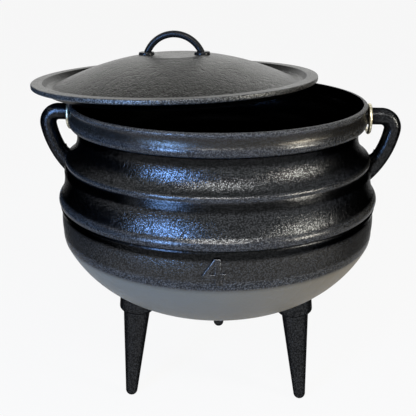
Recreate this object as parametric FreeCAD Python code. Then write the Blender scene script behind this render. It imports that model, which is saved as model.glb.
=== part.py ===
import FreeCAD, Part
import math
import os

# A three-legged cast iron cooking pot with two ears, a loose lid and a wire bail.
# Millimetres. The origin is on the pot's axis at the ground, +X runs through the ears,
# +Y points to the back and +Z up.

# Heights of the pot, from the ground to the rim
GROUND_GAP = 91.3
BOWL_RISE = 68.7
LOWER_BAND_H = 35.3
MIDDLE_BAND_H = 34.5
UPPER_BAND_H = 32.8
COLLAR_H = 20.8

# Radii of the pot: the mouth, and how far each ring stands out from it
MOUTH_R = 130.0
LIP_W = 4.8
COLLAR_STEP = 3.3
COLLAR_BEAD_STEP = 4.9
NECK_PINCH = 2.0
NECK_SWEEP = 3.6
UPPER_SWELL = 9.9
MIDDLE_SWELL = 17.5
LOWER_SWELL = 15.3
WALL = 4.6

# Small forms that run round the pot
LIP_H = 3.4
LIP_ROUND = 1.2
COLLAR_HOLLOW = 0.5
COLLAR_BEAD_H = 8.4
UNDERCUT = 2.7
SHELF_H = 6.3
SHELF_STEP = 1.2
UPPER_BEAD_H = 5.7
BEAD_H = 7.6
BEAD_STEP = 3.0
BEAD_BULGE = 1.8
GROOVE = 1.0
MIDDLE_HOLLOW = 1.4
LOWER_BULGE = 0.6
LOWER_BEAD_STEP = 0.4
INNER_NECK_HOLLOW = 1.5

# Bowl: a shallow floor and a rounder side, drawn as two arcs that meet smoothly
BOWL_FLOOR_R = 340.0
BOWL_SIDE_R = 109.0
BOWL_SETBACK = 0.8

# Legs, cast on under the bowl
LEG_COUNT = 3
LEG_TURN = 2.2
LEG_CIRCLE_R = 94.4
LEG_SPLAY = 5.7
FOOT_R = 5.7
SHANK_R = 12.5
KNEE_R = 16.3
KNEE_Z = 91.5

# Ears, cast on at the collar and the upper ring
EAR_BAR_R = 7.6
EAR_DROP = 13.5
EAR_ARM = 12.9
EAR_ELBOW_R = 11.0
EAR_ELBOW_TURN = 100.0
EAR_LIMB_R = 78.3
EAR_LIMB_TURN = 36.0
EAR_ROOT_DEPTH = 2.0
EAR_WEB_W = 9.0
EAR_WEB_NOTCH_R = 5.0
EAR_WEB_NOTCH_SETBACK = 0.9

# Lid
LID_OVERHANG = 1.0
LID_WALL = 4.7
BRIM_W = 11.0
BRIM_ROUND = 1.2
GUTTER_DEPTH = 5.6
GUTTER_W = 5.5
GUTTER_SLOPE_W = 3.0
DOME_RISE = 25.5
DOME_BULGE = 3.4
PLATEAU_R = 34.5
PLATEAU_STEP = 0.5
SEAT_RIB_DEPTH = 13.2
SEAT_RIB_W = 4.0

# Lid handle
LOOP_R = 28.8
LOOP_ROD_R = 3.2
LOOP_RISE = 22.0
LOOP_TURN = -5.4
BOSS_R = 8.2
BOSS_H = 2.6
BOSS_TAPER = 1.0

# Where the lid lies: slid off to the back left and tipped down on that side
LID_SLIDE = 58.6
LID_SLIDE_TOWARDS = 137.8
LID_TIP = 2.0
LID_SEAT_GAP = 0.3

# Bail: one wire with an open eye round each ear
WIRE_R = 1.7
EYE_R = 12.3
EYE_TURN = 306.0
EYE_TOP_GAP = 0.4
BAIL_COLLAR_GAP = 0.4
BAIL_ARM = 30.0
BAIL_LIFT = 3.0

# Places worked out from the sizes above
LOWER_LINE_Z = GROUND_GAP + BOWL_RISE
MIDDLE_LINE_Z = LOWER_LINE_Z + LOWER_BAND_H
UPPER_LINE_Z = MIDDLE_LINE_Z + MIDDLE_BAND_H
NECK_Z = UPPER_LINE_Z + UPPER_BAND_H
RIM_Z = NECK_Z + COLLAR_H
LIP_R = MOUTH_R + LIP_W
COLLAR_R = MOUTH_R + COLLAR_STEP
COLLAR_BEAD_R = MOUTH_R + COLLAR_BEAD_STEP
NECK_R = MOUTH_R - NECK_PINCH
UPPER_R = MOUTH_R + UPPER_SWELL
MIDDLE_R = MOUTH_R + MIDDLE_SWELL
LOWER_R = MOUTH_R + LOWER_SWELL
BOWL_EDGE_R = LOWER_R - BOWL_SETBACK
EAR_Z = RIM_Z - EAR_DROP
LID_R = LIP_R + LID_OVERHANG
BAIL_X = COLLAR_BEAD_R + BAIL_COLLAR_GAP + WIRE_R
BAIL_Z = EAR_Z + EAR_BAR_R + EYE_TOP_GAP - (EYE_R - WIRE_R)

QUARTER_TURN = 90
ORIGIN = FreeCAD.Vector(0, 0, 0)
UP = FreeCAD.Vector(0, 0, 1)
QUARTER_BULGE = 1 - math.sqrt(0.5)


def point(across, height):
    """A point in the half section, across from the axis and up."""
    return FreeCAD.Vector(across, 0, height)


def move(shape, placement):
    """A copy of the shape at a placement."""
    moved = shape.copy()
    moved.Placement = placement.multiply(moved.Placement)
    return moved


class Section:
    """A closed outline drawn point by point in the plane of the axis."""

    def __init__(self, across, height):
        self.start = point(across, height)
        self.end = self.start
        self.edges = []

    def line(self, across, height):
        target = point(across, height)
        self.edges.append(Part.LineSegment(self.end, target).toShape())
        self.end = target

    def arc(self, middle, target):
        """An arc through a middle point to its end, both as (across, height)."""
        target = point(*target)
        self.edges.append(Part.Arc(self.end, point(*middle), target).toShape())
        self.end = target

    def bow(self, across, height, bulge):
        """An arc that stands out from its chord by a bulge, to the left of the way it is drawn."""
        chord = point(across, height) - self.end
        left = FreeCAD.Vector(-chord.z, 0, chord.x).normalize()
        middle = self.end + chord / 2 + left * bulge
        self.arc((middle.x, middle.z), (across, height))

    def face(self):
        self.line(self.start.x, self.start.z)
        return Part.Face(Part.Wire(self.edges))

    def turned(self):
        """The solid that the section makes when it turns about the axis."""
        return self.face().revolve(ORIGIN, UP, 360)

    def plate(self, thickness):
        """A flat plate of the section, centred on the plane of the axis."""
        face = self.face()
        face.translate(FreeCAD.Vector(0, thickness / 2, 0))
        return face.extrude(FreeCAD.Vector(0, -thickness, 0))


def on_arc(centre, radius, degrees):
    """The (across, height) of a point on a circle, measured up from the outward direction."""
    turn = math.radians(degrees)
    return centre[0] + radius * math.cos(turn), centre[1] + radius * math.sin(turn)


def bowl_arcs():
    """Centres of the floor and side arcs, and the angle at which they meet."""
    floor_centre = (0.0, GROUND_GAP + BOWL_FLOOR_R)
    across = BOWL_EDGE_R - floor_centre[0]
    down = floor_centre[1] - LOWER_LINE_Z
    span = math.hypot(across, down)
    reach = BOWL_FLOOR_R - BOWL_SIDE_R
    opening = math.acos((span**2 + reach**2 - BOWL_SIDE_R**2) / (2 * span * reach))
    meeting = -math.degrees(math.atan2(down, across) + opening)
    return floor_centre, on_arc(floor_centre, reach, meeting), meeting


def draw_bowl(section, edge_across, edge_height, inset):
    """The bowl from its upper edge down to the axis, inset from the outside by a wall."""
    floor_centre, side_centre, meeting = bowl_arcs()
    side_r = BOWL_SIDE_R - inset
    floor_r = BOWL_FLOOR_R - inset
    start = math.degrees(math.asin((edge_height - side_centre[1]) / side_r))
    section.line(edge_across, edge_height)
    middle = on_arc(side_centre, side_r, (start + meeting) / 2)
    section.arc(middle, on_arc(side_centre, side_r, meeting))
    middle = on_arc(floor_centre, floor_r, (meeting - QUARTER_TURN) / 2)
    section.arc(middle, on_arc(floor_centre, floor_r, -QUARTER_TURN))


def bowl_across(height, inset):
    """How far the bowl's side is from the axis at a height."""
    side_centre = bowl_arcs()[1]
    side_r = BOWL_SIDE_R - inset
    return side_centre[0] + math.sqrt(side_r**2 - (side_centre[1] - height) ** 2)


def draw_collar(section):
    """The thin lip, the hollow face of the collar and the round bead under it."""
    face_top = RIM_Z - LIP_H
    bead_top = NECK_Z + UNDERCUT / 2 + COLLAR_BEAD_H
    bead_foot = bead_top - COLLAR_BEAD_H
    section.line(COLLAR_R, RIM_Z)
    section.bow(COLLAR_R, face_top, LIP_R - COLLAR_R)
    section.bow(COLLAR_R, bead_top, -COLLAR_HOLLOW)
    section.bow(COLLAR_R, bead_foot, COLLAR_BEAD_R - COLLAR_R)
    section.line(NECK_R + SHELF_STEP, NECK_Z)


def draw_upper_band(section):
    """The neck, which flares out in one hollow sweep to the upper bead."""
    section.line(NECK_R, NECK_Z - SHELF_H)
    section.bow(UPPER_R - GROOVE, UPPER_LINE_Z + UPPER_BEAD_H, -NECK_SWEEP)
    section.bow(UPPER_R - GROOVE, UPPER_LINE_Z + GROOVE, GROOVE)


def draw_middle_band(section):
    """The band that starts at a narrow shelf, runs slightly hollow and ends in a round bead."""
    section.line(UPPER_R, UPPER_LINE_Z)
    section.line(UPPER_R + SHELF_STEP, UPPER_LINE_Z - SHELF_H)
    section.bow(MIDDLE_R - BEAD_STEP, MIDDLE_LINE_Z + BEAD_H, -MIDDLE_HOLLOW)
    section.bow(MIDDLE_R - GROOVE, MIDDLE_LINE_Z - GROOVE, BEAD_BULGE)
    section.line(MIDDLE_R - 2 * GROOVE, MIDDLE_LINE_Z - 2 * GROOVE)


def draw_lower_band(section):
    """The lowest band, hardly bulged, with the last bead above the plain bowl."""
    shoulder = LOWER_R - LOWER_BEAD_STEP
    shelf_z = MIDDLE_LINE_Z - 3 * GROOVE
    section.line(MIDDLE_R - GROOVE, shelf_z)
    section.line(shoulder, shelf_z - SHELF_H)
    section.bow(shoulder, LOWER_LINE_Z + BEAD_H, LOWER_BULGE)
    section.bow(LOWER_R - GROOVE, LOWER_LINE_Z + GROOVE / 2, LOWER_BEAD_STEP)


def pot_outside():
    """The pot's outer form as a filled solid."""
    section = Section(0, RIM_Z)
    draw_collar(section)
    draw_upper_band(section)
    draw_middle_band(section)
    draw_lower_band(section)
    draw_bowl(section, bowl_across(LOWER_LINE_Z, 0), LOWER_LINE_Z, 0)
    return section.turned()


def pot_hollow():
    """The space inside the pot, which follows the outside at the wall's thickness."""
    above = RIM_Z + WALL
    round_across = MOUTH_R + LIP_ROUND
    section = Section(0, above)
    section.line(round_across, above)
    section.line(round_across, RIM_Z)
    section.bow(MOUTH_R, RIM_Z - LIP_ROUND, -QUARTER_BULGE * LIP_ROUND)
    section.line(MOUTH_R, RIM_Z - COLLAR_H / 2)
    section.bow(NECK_R - WALL, NECK_Z - SHELF_H, -INNER_NECK_HOLLOW)
    section.bow(UPPER_R - WALL, UPPER_LINE_Z - SHELF_H / 2, -NECK_SWEEP)
    section.line(MIDDLE_R - WALL - 2 * GROOVE, MIDDLE_LINE_Z - GROOVE)
    draw_bowl(section, bowl_across(LOWER_LINE_Z, WALL), LOWER_LINE_Z, WALL)
    return section.turned()


def leg(number):
    """One leg: a rounded foot, a tapering shank and a thicker knee under the bowl."""
    knee = KNEE_Z - FOOT_R
    top = LOWER_LINE_Z - FOOT_R
    knee_round = KNEE_R - SHANK_R
    section = Section(0, -FOOT_R)
    section.arc(on_arc((0, 0), FOOT_R, -QUARTER_TURN / 2), (FOOT_R, 0))
    section.line(SHANK_R, knee)
    section.bow(KNEE_R, knee + knee_round, -QUARTER_BULGE * knee_round)
    section.line(KNEE_R, top)
    section.line(0, top)
    upright = section.turned()
    splay = FreeCAD.Rotation(FreeCAD.Vector(0, 1, 0), -LEG_SPLAY)
    foot = FreeCAD.Placement(FreeCAD.Vector(LEG_CIRCLE_R, 0, FOOT_R), splay)
    back = QUARTER_TURN + LEG_TURN + number * 360 / LEG_COUNT
    round_pot = FreeCAD.Placement(ORIGIN, FreeCAD.Rotation(UP, back))
    return move(upright, round_pot.multiply(foot))


def ear_path():
    """The middle line of the right ear, from the collar out, round and down to the belly."""
    elbow = (LIP_R + EAR_ARM, EAR_Z - EAR_ELBOW_R)
    elbow_end = QUARTER_TURN - EAR_ELBOW_TURN
    limb_end = elbow_end - EAR_LIMB_TURN
    limb = on_arc(elbow, EAR_ELBOW_R - EAR_LIMB_R, elbow_end)
    path = Section(MOUTH_R + EAR_ROOT_DEPTH, EAR_Z)
    path.line(elbow[0], EAR_Z)
    elbow_middle = on_arc(elbow, EAR_ELBOW_R, (QUARTER_TURN + elbow_end) / 2)
    path.arc(elbow_middle, on_arc(elbow, EAR_ELBOW_R, elbow_end))
    path.arc(on_arc(limb, EAR_LIMB_R, (elbow_end + limb_end) / 2), on_arc(limb, EAR_LIMB_R, limb_end))
    return path, limb


def ear(turn):
    """One cast ear: a round bar bent down to the belly, with a web in its lower corner."""
    path, limb = ear_path()
    bar_end = Part.Circle(path.start, FreeCAD.Vector(1, 0, 0), EAR_BAR_R).toShape()
    bar = Part.Wire(path.edges).makePipeShell([Part.Wire([bar_end])], True, False)
    notch_across = UPPER_R - EAR_WEB_NOTCH_SETBACK
    inside = math.acos((notch_across + EAR_WEB_NOTCH_R - limb[0]) / (EAR_LIMB_R - EAR_BAR_R))
    corner = on_arc(limb, EAR_LIMB_R - EAR_BAR_R, -math.degrees(inside))
    web = Section(UPPER_R - EAR_BAR_R, corner[1])
    web.line(corner[0] + EAR_BAR_R / 2, corner[1])
    web.line(corner[0] + EAR_BAR_R / 2, UPPER_LINE_Z - SHELF_H)
    web.line(UPPER_R - EAR_BAR_R, UPPER_LINE_Z - SHELF_H)
    notch_at = FreeCAD.Vector(notch_across, -EAR_WEB_W, corner[1])
    notch = Part.makeCylinder(EAR_WEB_NOTCH_R, 2 * EAR_WEB_W, notch_at, FreeCAD.Vector(0, 1, 0))
    whole = bar.fuse(web.plate(EAR_WEB_W).cut(notch))
    return move(whole, FreeCAD.Placement(ORIGIN, FreeCAD.Rotation(UP, turn)))


def pot_body():
    """The pot as one casting: bowl, bands, collar, ears and legs round one hollow."""
    cast_on = [ear(0), ear(180)]
    for number in range(LEG_COUNT):
        cast_on.append(leg(number))
    return pot_outside().fuse(cast_on).cut(pot_hollow()).removeSplitter()


def lid_plate():
    """The round lid, level, with the top of its brim at height 0."""
    gutter_out = LID_R - BRIM_W
    gutter_in = gutter_out - GUTTER_SLOPE_W - GUTTER_W
    dome_top = DOME_RISE - GUTTER_DEPTH
    rib_out = gutter_in - GUTTER_SLOPE_W
    rib_in = rib_out - SEAT_RIB_W
    rounding = QUARTER_BULGE * BRIM_ROUND
    section = Section(0, dome_top + PLATEAU_STEP)
    section.line(PLATEAU_R - 3 * PLATEAU_STEP, dome_top + PLATEAU_STEP)
    section.line(PLATEAU_R, dome_top)
    section.bow(gutter_in, -GUTTER_DEPTH, DOME_BULGE)
    section.line(gutter_in + GUTTER_W, -GUTTER_DEPTH)
    section.line(gutter_out, -BRIM_ROUND)
    section.bow(gutter_out + BRIM_ROUND, 0, rounding)
    section.line(LID_R - BRIM_ROUND, 0)
    section.bow(LID_R, -BRIM_ROUND, rounding)
    section.line(LID_R, BRIM_ROUND - LID_WALL)
    section.bow(LID_R - BRIM_ROUND, -LID_WALL, rounding)
    section.line(gutter_out + BRIM_ROUND, -LID_WALL)
    section.line(gutter_in + GUTTER_W, -GUTTER_DEPTH - LID_WALL)
    section.line(rib_out, -SEAT_RIB_DEPTH)
    section.line(rib_in, -SEAT_RIB_DEPTH)
    section.line(rib_in - GUTTER_SLOPE_W, -GUTTER_DEPTH - LID_WALL / 2)
    section.bow(PLATEAU_R, dome_top - LID_WALL, -DOME_BULGE)
    section.line(0, dome_top - LID_WALL)
    return section.turned()


def lid_loop():
    """The lid's handle: a bowed rod on two round bosses, square to the lid."""
    middle_top = LOOP_RISE - LOOP_ROD_R
    centre = (0.0, middle_top - LOOP_R)
    foot_angle = math.degrees(math.asin(-centre[1] / LOOP_R))
    path = Section(*on_arc(centre, LOOP_R, foot_angle))
    path.arc((0.0, middle_top), on_arc(centre, LOOP_R, 180 - foot_angle))
    along = FreeCAD.Vector(-math.sin(math.radians(foot_angle)), 0, math.cos(math.radians(foot_angle)))
    rod_end = Part.Circle(path.start, along, LOOP_ROD_R).toShape()
    loop = Part.Wire(path.edges).makePipeShell([Part.Wire([rod_end])], True, False)
    for side in (-1, 1):
        base = FreeCAD.Vector(side * path.start.x, 0, -BOSS_H)
        loop = loop.fuse(Part.makeCone(BOSS_R, BOSS_R - BOSS_TAPER, 2 * BOSS_H, base, UP))
    return loop


def lid():
    """The lid with its handle, slid aside and tipped so that its rib lies on the rim."""
    dome_top = DOME_RISE - GUTTER_DEPTH + PLATEAU_STEP
    raised = FreeCAD.Placement(FreeCAD.Vector(0, 0, dome_top), FreeCAD.Rotation(UP, LOOP_TURN))
    whole = lid_plate().fuse(move(lid_loop(), raised))
    tip = math.radians(LID_TIP)
    rib_r = LID_R - BRIM_W - 2 * GUTTER_SLOPE_W - GUTTER_W - SEAT_RIB_W / 2
    rim_r = MOUTH_R + LIP_W / 2
    crossing = (LID_SLIDE**2 + rim_r**2 - rib_r**2) / (2 * LID_SLIDE)
    fall = (crossing - LID_SLIDE) * math.tan(tip)
    height = RIM_Z + LID_SEAT_GAP + SEAT_RIB_DEPTH / math.cos(tip) + fall
    towards = FreeCAD.Rotation(UP, LID_SLIDE_TOWARDS)
    tipped = FreeCAD.Rotation(FreeCAD.Vector(0, 1, 0), LID_TIP)
    rotation = towards.multiply(tipped).multiply(towards.inverted())
    place = towards.multVec(FreeCAD.Vector(LID_SLIDE, 0, height))
    return move(whole, FreeCAD.Placement(place, rotation))


def bail_handle():
    """The bail in one wire, drawn level behind the pot and then lifted a little."""
    level = -EYE_R
    start_turn = math.radians(EYE_TURN)
    open_end = FreeCAD.Vector(BAIL_X, EYE_R * math.sin(-start_turn), -EYE_R * math.cos(start_turn))
    eye_middle = FreeCAD.Vector(BAIL_X, EYE_R * math.sin(-start_turn / 2), -EYE_R * math.cos(start_turn / 2))
    arm_start = FreeCAD.Vector(BAIL_X, 0, level)
    arm_end = FreeCAD.Vector(BAIL_X, BAIL_ARM, level)
    top = FreeCAD.Vector(0, BAIL_ARM + BAIL_X, level)
    mirror = FreeCAD.Vector(1, 0, 0)

    def across(vector):
        return vector - mirror * (2 * vector.x)

    edges = [
        Part.Arc(open_end, eye_middle, arm_start).toShape(),
        Part.LineSegment(arm_start, arm_end).toShape(),
        Part.Arc(arm_end, top, across(arm_end)).toShape(),
        Part.LineSegment(across(arm_end), across(arm_start)).toShape(),
        Part.Arc(across(arm_start), across(eye_middle), across(open_end)).toShape(),
    ]
    along = FreeCAD.Vector(0, math.cos(start_turn), math.sin(-start_turn))
    wire_end = Part.Circle(open_end, along, WIRE_R).toShape()
    bail = Part.Wire(edges).makePipeShell([Part.Wire([wire_end])], True, False)
    lift = FreeCAD.Rotation(FreeCAD.Vector(1, 0, 0), BAIL_LIFT)
    return move(bail, FreeCAD.Placement(FreeCAD.Vector(0, 0, BAIL_Z), lift))


def main():
    """Builds each piece and writes it to its own file."""
    os.makedirs("parts", exist_ok=True)
    pieces = {"pot_body": pot_body(), "lid": lid(), "bail_handle": bail_handle()}
    for name, shape in pieces.items():
        shape.exportStep(f"parts/{name}.step")
        print(name, len(shape.Solids), shape.isValid(), round(shape.Volume / 1000, 1), "cm3")
    print("capacity to the rim, litres", round(pot_hollow().common(pot_outside()).Volume / 1e6, 2))


main()
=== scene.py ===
"""Finish, lamps and camera for a three-legged cast iron pot with a lid ajar and a wire bail."""
import logging
import math
from dataclasses import dataclass, field
from enum import Enum

import bmesh
import bpy
from bpy.types import Material, Mesh, Node, NodeSocket, NodeTree, Object
from mathutils import Matrix, Vector


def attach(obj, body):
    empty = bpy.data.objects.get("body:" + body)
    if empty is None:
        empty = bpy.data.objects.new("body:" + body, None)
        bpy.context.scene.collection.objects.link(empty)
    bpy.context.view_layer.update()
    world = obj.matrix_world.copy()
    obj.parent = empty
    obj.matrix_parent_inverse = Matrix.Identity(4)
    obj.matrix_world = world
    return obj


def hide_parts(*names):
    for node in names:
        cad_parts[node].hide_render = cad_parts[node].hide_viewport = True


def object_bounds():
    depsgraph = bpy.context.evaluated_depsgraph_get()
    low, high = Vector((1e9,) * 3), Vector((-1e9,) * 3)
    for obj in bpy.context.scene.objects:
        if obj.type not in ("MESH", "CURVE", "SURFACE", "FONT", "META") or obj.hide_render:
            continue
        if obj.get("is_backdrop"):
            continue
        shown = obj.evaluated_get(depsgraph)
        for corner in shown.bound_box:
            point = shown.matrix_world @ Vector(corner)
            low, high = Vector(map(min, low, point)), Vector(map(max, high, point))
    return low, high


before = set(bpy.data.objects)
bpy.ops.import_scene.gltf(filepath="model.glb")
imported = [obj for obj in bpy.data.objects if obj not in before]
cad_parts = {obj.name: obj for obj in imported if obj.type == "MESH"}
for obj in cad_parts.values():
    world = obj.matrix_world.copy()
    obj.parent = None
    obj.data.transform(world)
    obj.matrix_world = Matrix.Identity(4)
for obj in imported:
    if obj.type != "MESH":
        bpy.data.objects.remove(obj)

log = logging.getLogger("pot")

MM = 0.001
POT_BODY = "pot"
BAIL_BODY = "bail"
SKIN_VALUES = ("grain", "matt", "wear")
PRINT_SIZES = ("Grain Size", "Grain Depth", "Pit Depth")
CLOUD_ENDS = (0.3, 0.7)
QUARTER_BULGE = 1 - math.sqrt(0.5)
AXIS_WELD = 0.01 * MM
POINT_WELD = 0.002 * MM
ROD_SIDES = 40
OUT, BACK, UP = Vector((1, 0, 0)), Vector((0, 1, 0)), Vector((0, 0, 1))

Pair = tuple[float, float]
Triple = tuple[float, float, float]


class Skin(Enum):
    """How a stretch of casting came out of the mould, as (grain, matt, wear), each from 0 to 1; the smooth skin also
    carries painted shade, and the rubbed skins a painted highlight along the beads.
    """

    # The darker coat of this skin is painted shade, on the shelves and undercuts under the beads, in the lid's gutter
    # and round the digit's foot.
    SMOOTH = (0.3, 0.0, 0.0)
    GRAINY = (1.0, 0.0, 0.0)
    BEAD = (0.5, 0.0, 0.1)
    # The two rubbed skins below carry a light colour, partly wear on the lip and edges and partly a painted highlight
    # along the beads.
    RIDGE = (0.5, 0.0, 0.8)
    EDGE = (0.8, 0.0, 0.8)
    COLLAR_FACE = (0.5, 0.15, 0.1)
    LOWER_BAND = (0.9, 0.12, 0.0)
    BARE = (0.45, 1.0, 0.0)
    INSIDE = (0.5, 0.0, 0.0)
    LOOP = (0.25, 1.0, 0.0)

    def inputs(self) -> dict[str, float]:
        """The three values by name, as a tree takes them."""
        return dict(zip(SKIN_VALUES, self.value))


class Turn(Enum):
    """The solvers' names for joining and cutting meshes."""

    JOIN = "UNION"
    CUT = "DIFFERENCE"


def place(tree: NodeTree, kind: str, inputs: dict | None = None, **settings: object) -> Node:
    """Adds a node, sets its options and fills or links its inputs.

    Args:
        tree: The node tree to add to.
        kind: The node's type name.
        inputs: Socket names or numbers, each with a value or with the socket that feeds it.
        settings: The node's options.

    Returns:
        The new node.
    """
    node = tree.nodes.new(kind)
    for name, value in settings.items():
        setattr(node, name, value)
    for key, value in (inputs or {}).items():
        if isinstance(value, NodeSocket):
            tree.links.new(value, node.inputs[key])
        else:
            node.inputs[key].default_value = value
    return node


def compute(tree: NodeTree, operation: str, *values: object) -> NodeSocket:
    """Puts a Math node in a tree.

    Args:
        tree: The node tree to add to.
        operation: The Math node's operation.
        values: Its inputs in order, as numbers or sockets.

    Returns:
        The node's result socket.
    """
    return place(tree, "ShaderNodeMath", dict(enumerate(values)), operation=operation).outputs[0]


def ranged(tree: NodeTree, value: NodeSocket, given: Pair,
           wanted: Pair, soft: bool = False) -> NodeSocket:
    """Carries a value from one range over to another.

    Args:
        tree: The node tree to add to.
        value: The socket to carry over.
        given: The value's own low and high end.
        wanted: What they become.
        soft: Whether the change eases in and out.

    Returns:
        The result socket.
    """
    ends = dict(enumerate((value, *given, *wanted)))
    kind = "SMOOTHSTEP" if soft else "LINEAR"
    return place(tree, "ShaderNodeMapRange", ends, interpolation_type=kind).outputs[0]


def blend(tree: NodeTree, share: NodeSocket, *colours: object) -> NodeSocket:
    """Mixes two colours.

    Args:
        tree: The node tree to add to.
        share: How much of the second colour to take.
        colours: The two colours, as red, green and blue or as sockets.

    Returns:
        The result socket.
    """
    sides = {side: colour if isinstance(colour, NodeSocket) else (*colour, 1.0)
             for side, colour in zip("AB", colours)}
    return place(tree, "ShaderNodeMix", {"Factor": share, **sides}, data_type="RGBA").outputs["Result"]


def new_material(name: str) -> tuple[Material, NodeTree]:
    """Makes a material with an empty node tree.

    Args:
        name: The material's name.

    Returns:
        The material and its tree.
    """
    made = bpy.data.materials.new(name)
    made.use_nodes = True
    made.node_tree.nodes.clear()
    return made, made.node_tree


def add_object(name: str, data: bpy.types.ID) -> Object:
    """Puts an object with this data in the scene."""
    made = bpy.data.objects.new(name, data)
    bpy.context.scene.collection.objects.link(made)
    return made


def keep_skins(mesh: Mesh, skins: list[Triple]) -> None:
    """Stores the grain, matt and wear of every point on a mesh.

    Args:
        mesh: The mesh.
        skins: The three values of each point.
    """
    for name, values in zip(SKIN_VALUES, zip(*skins)):
        mesh.attributes.new(name, "FLOAT", "POINT")
        mesh.attributes[name].data.foreach_set("value", values)


def new_tree(name: str, kind: str, inputs: dict[str, str], outputs: dict[str, str]
             ) -> tuple[NodeTree, dict[str, NodeSocket]]:
    """Starts a node tree with named sockets.

    Args:
        name: The tree's name.
        kind: The tree's type name.
        inputs: Input names and their socket types.
        outputs: Output names and their socket types.

    Returns:
        The tree and the sockets that carry its inputs.
    """
    tree = bpy.data.node_groups.new(name, kind)
    for way, sockets in (("INPUT", inputs), ("OUTPUT", outputs)):
        for label, sort in sockets.items():
            tree.interface.new_socket(label, in_out=way, socket_type="NodeSocket" + sort)
    return tree, tree.nodes.new("NodeGroupInput").outputs


def close_tree(tree: NodeTree, mesh: NodeSocket, finish: NodeSocket) -> NodeTree:
    """Ends a tree in smooth shading, real geometry and its material.

    Args:
        tree: The tree to close.
        mesh: The socket that carries the shape.
        finish: The socket that carries the material.

    Returns:
        The tree.
    """
    smooth = place(tree, "GeometryNodeSetShadeSmooth", {"Geometry": mesh})
    real = place(tree, "GeometryNodeRealizeInstances", {"Geometry": smooth.outputs[0]})
    dressed = place(tree, "GeometryNodeSetMaterial", {"Geometry": real.outputs[0], "Material": finish})
    place(tree, "NodeGroupOutput", {"Mesh": dressed.outputs[0]})
    return tree


def with_skin(tree: NodeTree, mesh: NodeSocket, values: list[NodeSocket]) -> NodeSocket:
    """Stores the grain, matt and wear on every point of a shape.

    Args:
        tree: The tree to add to.
        mesh: The shape.
        values: The three fields that fill them.

    Returns:
        The shape with its skin.
    """
    for name, value in zip(SKIN_VALUES, values):
        mesh = place(tree, "GeometryNodeStoreNamedAttribute", {"Geometry": mesh, "Name": name, "Value": value},
                     data_type="FLOAT", domain="POINT").outputs[0]
    return mesh


def lathe_tree() -> NodeTree:
    """Turns an outline, given as a row of points, about the upright axis into a closed shape.

    Returns:
        The tree.
    """
    tree, given = new_tree("lathe", "GeometryNodeTree", {
        "Outline": "Geometry", "Segments": "Int", "Unevenness": "Float", "Wave Length": "Float", "Seed": "Float",
        "Finish": "Material"}, {"Mesh": "Geometry"})
    rows = place(tree, "GeometryNodeAttributeDomainSize", {0: given["Outline"]}).outputs["Point Count"]
    columns = compute(tree, "ADD", given["Segments"], 1)
    grid = place(tree, "GeometryNodeMeshGrid", {"Vertices X": columns, "Vertices Y": rows})
    index = place(tree, "GeometryNodeInputIndex").outputs[0]
    column = compute(tree, "FLOOR", compute(tree, "DIVIDE", index, rows))
    row = compute(tree, "MODULO", index, rows)
    turn = compute(tree, "MULTIPLY", compute(tree, "DIVIDE", column, given["Segments"]), math.tau)

    def along(kind: str, value: NodeSocket) -> NodeSocket:
        """The outline's own value at this row."""
        return place(tree, "GeometryNodeSampleIndex", {"Geometry": given["Outline"], "Value": value, "Index": row},
                     data_type=kind, domain="POINT").outputs[0]

    spot = along("FLOAT_VECTOR", place(tree, "GeometryNodeInputPosition").outputs[0])
    turned = place(tree, "ShaderNodeVectorRotate", {"Vector": spot, "Angle": turn}, rotation_type="Z_AXIS")
    shape = place(tree, "GeometryNodeSetPosition", {"Geometry": grid.outputs["Mesh"], "Position": turned.outputs[0]})
    stored = [place(tree, "GeometryNodeInputNamedAttribute", {"Name": name}, data_type="FLOAT").outputs["Attribute"]
              for name in SKIN_VALUES]
    shape = with_skin(tree, shape.outputs[0], [along("FLOAT", value) for value in stored])
    closed = place(tree, "GeometryNodeMergeByDistance", {"Geometry": shape, "Distance": AXIS_WELD})
    swell = place(tree, "ShaderNodeTexNoise", {
        "W": given["Seed"], "Scale": compute(tree, "DIVIDE", 1, given["Wave Length"]), "Detail": 1.0},
        noise_dimensions="4D")
    inward = compute(tree, "MULTIPLY", compute(tree, "MULTIPLY", swell.outputs[0], given["Unevenness"]), -1)
    normal = place(tree, "GeometryNodeInputNormal").outputs[0]
    offset = place(tree, "ShaderNodeVectorMath", {0: normal, "Scale": inward}, operation="SCALE")
    cast = place(tree, "GeometryNodeSetPosition", {"Geometry": closed.outputs[0], "Offset": offset.outputs[0]})
    return close_tree(tree, cast.outputs[0], given["Finish"])


def rod_tree() -> NodeTree:
    """Draws a round rod along a path, given as a row of points joined by edges.

    Returns:
        The tree.
    """
    tree, given = new_tree("rod", "GeometryNodeTree", {
        "Path": "Geometry", "Radius": "Float", "Sides": "Int", "Grain": "Float", "Matt": "Float", "Wear": "Float",
        "Finish": "Material"}, {"Mesh": "Geometry"})
    path = place(tree, "GeometryNodeMeshToCurve", {0: given["Path"]})
    ring = place(tree, "GeometryNodeCurvePrimitiveCircle",
                 {"Resolution": given["Sides"], "Radius": given["Radius"]})
    rod = place(tree, "GeometryNodeCurveToMesh",
                {"Curve": path.outputs[0], "Profile Curve": ring.outputs[0], "Fill Caps": True})
    shape = with_skin(tree, rod.outputs[0], [given[name.title()] for name in SKIN_VALUES])
    return close_tree(tree, shape, given["Finish"])


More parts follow.
